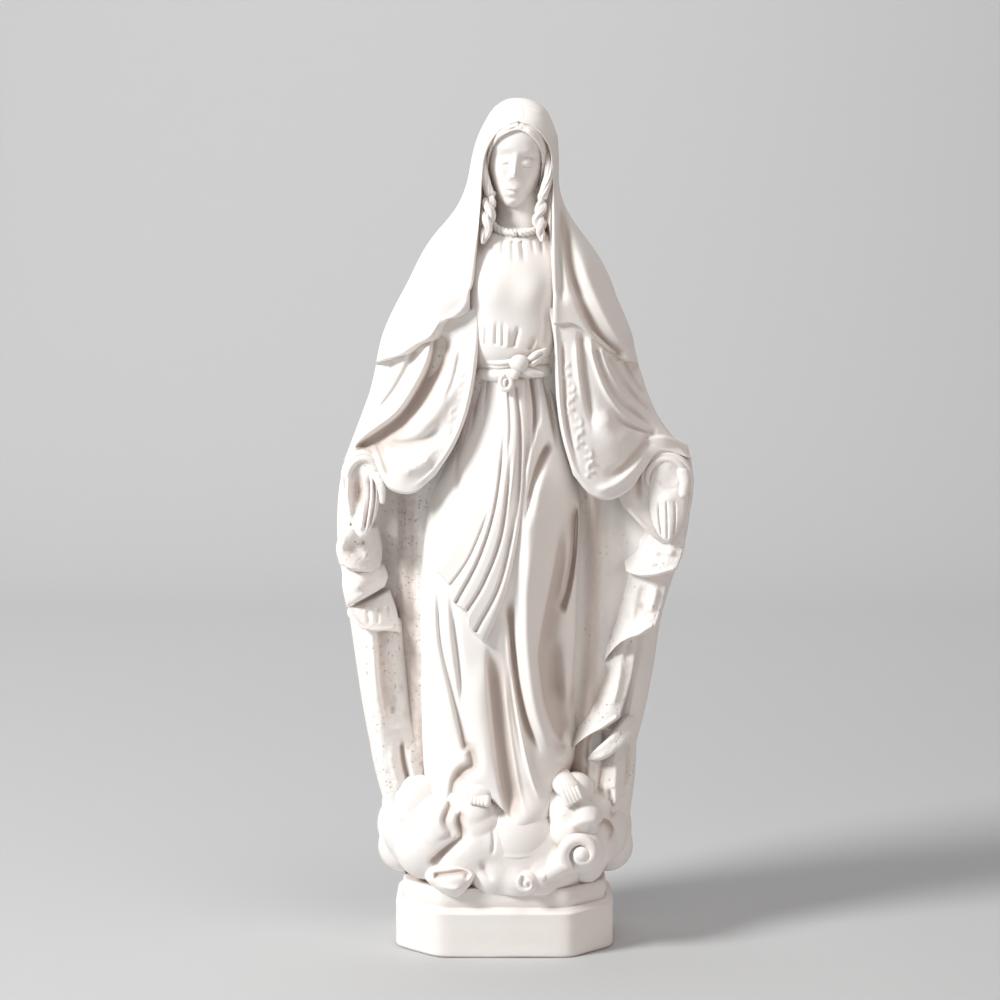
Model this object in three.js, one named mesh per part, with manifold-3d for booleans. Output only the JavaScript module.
// A standing madonna statuette in cast plaster: a robed figure with open hands on a globe in a bank
// of clouds, over an eight-sided plinth. Millimetres, +Z up. The origin is the centre of the plinth's
// underside, and the figure faces -Y. Left and right are the figure's own, so its right hand is at -X.
import * as THREE from "three";
import { mergeVertices } from "three/addons/utils/BufferGeometryUtils.js";
import Module from "manifold-3d";

const wasm = await Module();
wasm.setup();

// Driving dimensions.
const HEIGHT = 300; // plinth underside to the crown of the veil
const GAP = 0.35; // between neighbouring pieces
const CLOTH = 2.6; // veil thickness
const MANTLE_LIP = 3.6; // mantle thickness at its front edges
const PLINTH_WIDTH = 77.6;
const PLINTH_DEPTH = 64;
const PLINTH_CORNER = 15.5;
const PLINTH_BLOCK = 16.2; // height of the ledge that runs round the plinth
const PLINTH_TOP = 24;
const LEDGE = 0.8;
const BEVEL_RISE = 3;
const BEVEL_IN = 1.2;
const GLOBE_RADIUS = 17;
const HEAD_X = 4; // the head leans to the figure's left

const ROUND = 18; // sides of a large piece
const SLIM = 10; // sides of a small one
const WIDE = 26; // sides of the veil and the mantle, which go right round the figure

const PLASTER = { color: 0xf1ece7, roughness: 0.62, metalness: 0 };

// A closed three.js geometry as a solid.
function solid(geometry) {
  const bare = geometry.clone();
  bare.deleteAttribute("normal");
  bare.deleteAttribute("uv");
  const merged = mergeVertices(bare, 1e-4);
  return new wasm.Manifold(
    new wasm.Mesh({
      numProp: 3,
      vertProperties: new Float32Array(merged.attributes.position.array),
      triVerts: new Uint32Array(merged.index.array),
    }),
  );
}

// A solid back as a three.js geometry. A cut can leave crumbs, so only the largest body is kept.
function geometryOf(made) {
  const body = made.decompose().sort((a, b) => b.volume() - a.volume())[0];
  const mesh = body.getMesh();
  const points = new Float32Array(mesh.numVert * 3);
  for (let i = 0; i < mesh.numVert; i++) {
    points.set(mesh.vertProperties.subarray(i * mesh.numProp, i * mesh.numProp + 3), i * 3);
  }
  const geometry = new THREE.BufferGeometry();
  geometry.setAttribute("position", new THREE.BufferAttribute(points, 3));
  geometry.setIndex(new THREE.BufferAttribute(new Uint32Array(mesh.triVerts), 1));
  geometry.computeVertexNormals();
  return geometry;
}

// Moves each vertex of a unit cylinder: place(x, y, t) takes a point of the unit disc and the share of
// the way up.
function bentCylinder(sides, levels, place) {
  const geometry = new THREE.CylinderGeometry(1, 1, 1, sides, levels);
  geometry.rotateX(Math.PI / 2);
  const position = geometry.getAttribute("position");
  for (let i = 0; i < position.count; i++) {
    const p = place(position.getX(i), position.getY(i), position.getZ(i) + 0.5);
    position.setXYZ(i, p.x, p.y, p.z);
  }
  return solid(geometry);
}

// An upright form through oval stations [z, left, right, front, back], listed from the bottom up.
function upright(stations, sides = ROUND) {
  const levels = Math.max(stations.length - 1, 6);
  const across = new THREE.CatmullRomCurve3(stations.map((s) => new THREE.Vector3(s[1], s[2], s[0])));
  const along = new THREE.CatmullRomCurve3(stations.map((s) => new THREE.Vector3(s[3], s[4], s[0])));
  return (grow = 0) =>
    bentCylinder(sides, levels, (x, y, t) => {
      const a = across.getPoint(t);
      const b = along.getPoint(t);
      const halfWidth = (a.y - a.x) / 2 + grow;
      const halfDepth = (b.y - b.x) / 2 + grow;
      const end = t < 1e-6 ? -grow : t > 1 - 1e-6 ? grow : 0;
      return new THREE.Vector3((a.x + a.y) / 2 + x * halfWidth, (b.x + b.y) / 2 + y * halfDepth, a.z + end);
    });
}

// A limb-like form along stations [x, y, z, half width, half depth]; its depth faces the front.
function limb(stations, sides = SLIM) {
  const levels = Math.max(stations.length, 4);
  const path = new THREE.CatmullRomCurve3(stations.map((s) => new THREE.Vector3(s[0], s[1], s[2])));
  const sizes = new THREE.CatmullRomCurve3(stations.map((s) => new THREE.Vector3(s[3], s[4], 0)));
  const front = new THREE.Vector3(0, -1, 0);
  return (grow = 0) =>
    bentCylinder(sides, levels, (x, y, t) => {
      const along = path.getTangent(t);
      const side = new THREE.Vector3().crossVectors(front, along).normalize();
      const out = new THREE.Vector3().crossVectors(along, side);
      const size = sizes.getPoint(t);
      const end = t < 1e-6 ? -grow : t > 1 - 1e-6 ? grow : 0;
      return path
        .getPoint(t)
        .addScaledVector(side, x * (size.x + grow))
        .addScaledVector(out, y * (size.y + grow))
        .addScaledVector(along, end);
    });
}

function ellipsoid(x, y, z, rx, ry, rz, sides = SLIM) {
  return (grow = 0) => {
    const geometry = new THREE.SphereGeometry(1, sides, Math.round(sides * 0.6));
    geometry.rotateX(Math.PI / 2);
    geometry.scale(rx + grow, ry + grow, rz + grow);
    geometry.translate(x, y, z);
    return solid(geometry);
  };
}

function ring(x, y, z, radius, thick, flatten, tilt) {
  return (grow = 0) => {
    const geometry = new THREE.TorusGeometry(radius, thick + grow, 8, ROUND);
    geometry.scale(1, flatten, 1);
    geometry.rotateX(tilt);
    geometry.translate(x, y, z);
    return solid(geometry);
  };
}

function block(x0, x1, y0, y1, z0, z1) {
  const geometry = new THREE.BoxGeometry(x1 - x0, y1 - y0, z1 - z0);
  geometry.translate((x0 + x1) / 2, (y0 + y1) / 2, (z0 + z1) / 2);
  return solid(geometry);
}

const joined =
  (...forms) =>
  (grow = 0) =>
    forms.map((form) => form(grow)).reduce((a, b) => a.add(b));

// The plinth's outline, an oblong with its corners cut off, drawn in from the full size.
function plinthOutline(inset) {
  const x = PLINTH_WIDTH / 2 - inset;
  const y = PLINTH_DEPTH / 2 - inset;
  const c = PLINTH_CORNER - inset * (2 - Math.SQRT2);
  const shape = new THREE.Shape();
  shape.moveTo(x - c, -y);
  shape.lineTo(x, -y + c);
  shape.lineTo(x, y - c);
  shape.lineTo(x - c, y);
  shape.lineTo(-x + c, y);
  shape.lineTo(-x, y - c);
  shape.lineTo(-x, -y + c);
  shape.lineTo(-x + c, -y);
  shape.closePath();
  return shape;
}

function plinth() {
  const base = new THREE.ExtrudeGeometry(plinthOutline(0), { depth: PLINTH_BLOCK, bevelEnabled: false });
  const collar = new THREE.ExtrudeGeometry(plinthOutline(LEDGE + BEVEL_IN), {
    depth: 1,
    bevelThickness: BEVEL_RISE,
    bevelSize: BEVEL_IN,
    bevelSegments: 1,
  });
  collar.translate(0, 0, PLINTH_BLOCK - 1);
  const table = new THREE.ExtrudeGeometry(plinthOutline(LEDGE + BEVEL_IN), {
    depth: PLINTH_TOP - PLINTH_BLOCK + 1,
    bevelEnabled: false,
  });
  table.translate(0, 0, PLINTH_BLOCK - 1);
  return solid(base).add(solid(collar)).add(solid(table));
}

// Head and hair.
const headForm = joined(
  ellipsoid(HEAD_X, -3, 277.5, 10.4, 12.6, 15.6, 16),
  limb([
    [HEAD_X + 0.6, -1, 247, 6.8, 6.4],
    [HEAD_X + 0.2, -1, 258, 6, 5.8],
    [HEAD_X, -1, 270, 6.4, 6],
  ]),
);
const hairForm = (grow = 0) =>
  ellipsoid(HEAD_X, -1.4, 280, 12.2, 13.4, 15.8, 16)(grow).subtract(
    limb([
      [HEAD_X, -16, 258, 8.6, 13],
      [HEAD_X, -16, 272, 9.4, 13],
      [HEAD_X, -16, 288, 3, 13],
    ])(-grow),
  );
const braidRightForm = limb([
  [-6.4, -13.6, 266, 1.6, 1.6],
  [-8.2, -14.6, 258.5, 2.3, 2.2],
  [-9.2, -16.4, 251, 2.1, 2],
  [-10.2, -17.6, 245.5, 0.9, 0.9],
], 8);
const braidLeftForm = limb([
  [15, -13.6, 264, 1.6, 1.6],
  [15.8, -14.6, 258, 2.2, 2.1],
  [14.8, -16.6, 252, 2, 1.9],
  [14.2, -18, 247.5, 0.9, 0.9],
], 8);

// Gown, in the order it is laid up: collar, sash and its ends, then the cloth beneath them.
const collarForm = ring(HEAD_X + 0.8, -5.6, 252.4, 9.2, 1.5, 0.86, 0.34);
const sashKnotForm = limb([
  [1.6, -22.6, 205, 2, 1.6],
  [7.4, -24.2, 207.6, 3, 2.2],
  [14.4, -22.4, 212, 1.6, 1.6],
], 10);
const sashLoopForm = (grow = 0) => {
  const geometry = new THREE.TorusGeometry(2.1, 0.85 + grow, 6, SLIM);
  geometry.rotateX(Math.PI / 2);
  geometry.translate(0.4, -22.6, 200.8);
  return solid(geometry);
};
const sashBandForm = upright([
  [202.6, -13.6, 19, -20.6, 9],
  [206.6, -14.6, 20, -21.6, 10],
  [210.6, -14, 19.4, -20.8, 10],
]);
const sashTailForm = limb([
  [3.4, -20.6, 201.6, 2.6, 1.3],
  [3.4, -24.2, 183, 4.6, 1.5],
  [0.4, -27, 156, 7.2, 1.7],
  [-6.2, -28.4, 136, 9.6, 1.9],
  [-12.6, -28.6, 121, 9.4, 1.6],
]);
const bodiceForm = upright([
  [209, -15, 20, -20, 10],
  [218, -17, 22.4, -22.6, 10],
  [230, -18.4, 24, -23, 9],
  [243, -19, 24.6, -19.4, 8],
  [250, -15, 22, -13.6, 7],
  [255.5, -7, 15, -8, 5],
]);
const skirtForm = upright([
  [50, -29, 28.6, -27, 13],
  [66, -31, 27.4, -26, 13],
  [88, -30.6, 26, -25.4, 13],
  [122, -29.6, 26, -26.4, 13],
  [150, -27.6, 27, -25.6, 13],
  [176, -22.6, 25.4, -23, 12],
  [194, -17, 22, -20.6, 11],
  [204.6, -14.6, 19.6, -19.4, 10],
]);

// Hands hang open with the palms forward, a cuff round each wrist.
const handRightForm = joined(
  limb([
    [-50.6, -9, 174, 4.6, 4.2],
    [-50.6, -12.4, 165, 6, 3.2],
    [-49.6, -13.4, 156, 5.8, 2.7],
    [-47.6, -13.8, 147, 4.4, 2.3],
    [-46.4, -13.8, 141.6, 2, 1.5],
  ]),
  limb([
    [-53, -12, 166, 2.2, 2],
    [-56.4, -14, 158, 1.8, 1.8],
    [-57, -14.4, 152, 1, 1],
  ], 8),
);
const handLeftForm = joined(
  limb([
    [58, -9, 174, 4.8, 4.2],
    [58, -12.4, 165, 6.4, 3.2],
    [57.2, -13.4, 157, 6, 2.7],
    [57, -13.8, 149, 4.6, 2.3],
    [58, -13.8, 144, 2, 1.5],
  ]),
  limb([
    [60.6, -12, 167, 2.2, 2],
    [63, -14, 160, 1.8, 1.8],
    [63.2, -14.4, 154, 1, 1],
  ], 8),
);
const cuffRightForm = limb([
  [-50.4, -7.6, 181, 5, 5],
  [-51, -9, 174, 6.6, 6.4],
  [-51, -10.4, 169.4, 7, 6],
]);
const cuffLeftForm = limb([
  [57, -7.6, 181, 5, 5],
  [57.8, -9, 174, 6.6, 6.4],
  [58, -10.4, 169.4, 7, 6],
]);

// The mantle's front falls: each hangs from the shoulder over the forearm, and swags under the wrist.
const drapeRightForm = upright([
  [160.6, -38, -28, -18, -9],
  [166, -42, -21.6, -21, -6],
  [175, -55, -17.6, -21.6, 4],
  [186, -51.4, -14.6, -21.4, 8],
  [200, -46, -12, -20.8, 9],
  [214, -40.4, -10.6, -20, 8],
  [226, -34, -11, -19, 7],
]);
const drapeLeftForm = upright([
  [158.4, 33, 44, -18, -9],
  [165, 27.4, 50, -21, -6],
  [175, 22.6, 61.6, -21.6, 4],
  [186, 19.4, 54.6, -21.4, 8],
  [200, 17.4, 47.4, -20.8, 9],
  [214, 17, 42.4, -20, 8],
  [226, 17, 36, -19, 7],
]);

// The turned-back front edge of the mantle, which zigzags as it falls from the hand to the clouds.
const ruffleRightForm = upright([
  [60, -42, -29, -16, -4],
  [74, -48, -33, -15, -3],
  [92, -51, -36.4, -14, -3],
  [108, -54.6, -38.6, -18, -3],
  [118, -56.6, -45.4, -15, -3],
  [130, -58, -44.6, -19, -3],
  [139, -59.4, -46.6, -16, -3],
], 14);
const ruffleLeftForm = upright([
  [60, 28, 45.4, -18, -3],
  [74, 30, 44.6, -19, -3],
  [88, 34.6, 43.4, -15, -3],
  [104, 36, 50, -18, -3],
  [116, 40.4, 54.4, -16, -3],
  [130, 46.4, 60.4, -18, -3],
  [140, 46.6, 63.4, -16, -3],
], 14);

// The mantle's outer surface, and the shallow hollow in front of which the figure stands.
const MANTLE = [
  [44, -42, 42, -24, 30],
  [56, -44, 44.4, -24, 29.6],
  [68, -48.2, 46.6, -22, 29],
  [82, -50.8, 50.6, -22, 28.6],
  [98, -53.2, 53.6, -22, 28],
  [116, -55.8, 56.2, -22, 27.4],
  [133, -58.6, 61, -22, 26.8],
  [146, -60, 65.2, -22, 26.2],
  [162, -59.2, 66.8, -22, 25.4],
  [176, -56.6, 63.4, -22, 24.4],
  [189, -50.8, 53.4, -22, 23],
  [202, -45.8, 47.6, -22, 21],
  [216, -39.6, 42, -20, 17.6],
  [231, -32, 35, -16, 12],
];
const mantleForm = upright(MANTLE, WIDE);
const mantleHollow = upright(
  MANTLE.map(([z, left, right]) => [z, left + MANTLE_LIP, right - MANTLE_LIP, -52, 9]),
  WIDE,
);
function mantle(grow = 0) {
  const openFront = block(-90, 90, -60, -9 - grow, 0, 260);
  return mantleForm(grow).subtract(openFront).subtract(mantleHollow(-grow));
}

// The veil covers the head and the shoulders, and is open in front from the brow to its hem.
const VEIL = [
  [207, -45.2, 46.8, -24.4, 24],
  [214, -43.2, 45.2, -24.4, 22.4],
  [227, -38.2, 40.6, -23, 19],
  [240, -32.6, 36, -21, 16.4],
  [252, -24.8, 28, -19, 15.4],
  [261, -17.4, 22, -17.4, 15.6],
  [270, -13.4, 19.6, -16.8, 16],
  [280, -11.8, 19.4, -16, 16],
  [288, -9, 17.8, -13.6, 14.4],
  [295, -4.6, 14, -8.6, 10.4],
  [HEIGHT, -1, 9.4, -3.6, 5.6],
];
const veilForm = upright(VEIL, WIDE);
const veilHollow = upright(
  VEIL.slice(0, -1).map(([z, left, right, front, back], i) => [
    z - (i ? 0 : 2),
    left + CLOTH,
    right - CLOTH,
    front + CLOTH,
    back - CLOTH,
  ]),
  WIDE,
);
function veil(grow = 0) {
  const faceOpening = limb([
    [HEAD_X - 0.4, -24, 200, 13.4, 16],
    [HEAD_X - 0.4, -24, 236, 13, 16],
    [HEAD_X, -22, 262, 11.6, 16],
    [HEAD_X + 0.4, -20, 276, 10.6, 15],
    [HEAD_X + 0.4, -20, 286, 7.4, 14],
    [HEAD_X + 0.4, -20, 290.6, 1.6, 10],
  ], 16);
  return veilForm(grow).subtract(veilHollow(-grow)).subtract(faceOpening(-grow));
}

// Globe, feet and clouds.
const globeForm = ellipsoid(3.8, -15, 37.4, GLOBE_RADIUS, GLOBE_RADIUS, GLOBE_RADIUS, ROUND);
// A bare foot that points away from the hem: an instep, a ball and five toes side by side.
function foot(x, z, turn) {
  const toes = [-1, -0.5, 0, 0.5, 1].map((across) =>
    ellipsoid(x + turn * 5.4 + across * 3.6, -31.6 - turn * across, z - 4.6 - across * turn, 1.2, 2.6, 1.3, 6),
  );
  return joined(
    ellipsoid(x, -21, z + 1, 4.6, 8, 4.4),
    ellipsoid(x + turn * 3, -27, z - 2.4, 5, 5.4, 3.2),
    ...toes,
  );
}
const footRightForm = foot(-9.6, 56.8, 0.5);
const footLeftForm = foot(21.4, 57.6, 1);
// A rolled-up end of cloud: a thick rim round a dished face with a bead in its middle.
function scroll(x, y, z, radius, thick) {
  return (grow = 0) => {
    const rim = new THREE.TorusGeometry(radius, thick + grow, 8, ROUND);
    rim.rotateX(Math.PI / 2);
    rim.translate(x, y, z);
    const face = new THREE.CylinderGeometry(radius + grow, radius + grow, thick + 2 * grow, ROUND);
    face.translate(x, y + thick / 3, z);
    const bead = ellipsoid(x - radius * 0.1, y - thick * 0.2, z, radius * 0.42, thick, radius * 0.42, 10);
    return solid(rim).add(solid(face)).add(bead(grow));
  };
}
const scrollLeftForm = scroll(25.4, -30.6, 38.6, 6.6, 2.5);
const scrollFrontForm = scroll(7.2, -35, 28.6, 2.9, 1.5);
const scrollRightForm = limb([
  [-27, -26.6, 30.6, 2.4, 2.4],
  [-20, -31, 28.6, 4.2, 3.2],
  [-13.4, -33.4, 27.6, 3.2, 2.8],
], 10);
const cloudFrontForm = joined(
  ellipsoid(2, -22, 26.4, 21, 12.6, 5.6, 16),
  ellipsoid(-17, -19, 35, 8, 11, 9),
);
const cloudRightForm = joined(
  ellipsoid(-29, -6, 38, 16.6, 24, 14.6, 16),
  ellipsoid(-33.6, 0, 49.4, 12, 17, 10.6),
  ellipsoid(-23, -20, 46, 11, 10, 11),
);
const cloudLeftForm = joined(
  ellipsoid(28, -5, 37, 15.8, 25, 13, 16),
  ellipsoid(33.6, -2, 48, 11.4, 17, 11.4),
  ellipsoid(29.6, -20, 49, 9.6, 9, 8.4),
);
const cloudBackForm = joined(
  ellipsoid(-12, 14, 38, 24, 17.6, 15, 16),
  ellipsoid(14, 15, 37, 24, 16.6, 14, 16),
);

// Pieces in the order of carving: each one is cut back from all that come before it.
const belowPlinthTop = block(-90, 90, -60, 60, -20, PLINTH_TOP + GAP);
const PIECES = [
  ["globe", globeForm],
  ["right_foot", footRightForm],
  ["left_foot", footLeftForm],
  ["head", headForm],
  ["right_braid", braidRightForm],
  ["left_braid", braidLeftForm],
  ["hair", hairForm],
  ["collar", collarForm],
  ["sash_loop", sashLoopForm],
  ["sash_knot", sashKnotForm],
  ["sash_tail", sashTailForm],
  ["sash_band", sashBandForm],
  ["right_hand", handRightForm],
  ["left_hand", handLeftForm],
  ["right_cuff", cuffRightForm],
  ["left_cuff", cuffLeftForm],
  ["bodice", bodiceForm],
  ["right_drape", drapeRightForm],
  ["left_drape", drapeLeftForm],
  ["gown_skirt", skirtForm],
  ["right_ruffle", ruffleRightForm],
  ["left_ruffle", ruffleLeftForm],
  ["veil", veil],
  ["mantle_back", mantle],
  ["left_scroll", scrollLeftForm],
  ["front_scroll", scrollFrontForm],
  ["right_scroll", scrollRightForm],
  ["front_cloud", cloudFrontForm],
  ["left_cloud", cloudLeftForm],
  ["right_cloud", cloudRightForm],
  ["back_cloud", cloudBackForm],
];

function addPiece(group, name, made) {
  const mesh = new THREE.Mesh(geometryOf(made), new THREE.MeshStandardMaterial(PLASTER));
  mesh.name = name;
  group.add(mesh);
}

function statue() {
  const group = new THREE.Group();
  addPiece(group, "plinth", plinth());
  let taken = belowPlinthTop;
  for (const [name, form] of PIECES) {
    addPiece(group, name, form().subtract(taken));
    taken = taken.add(form(GAP));
  }
  return group;
}

export default statue();
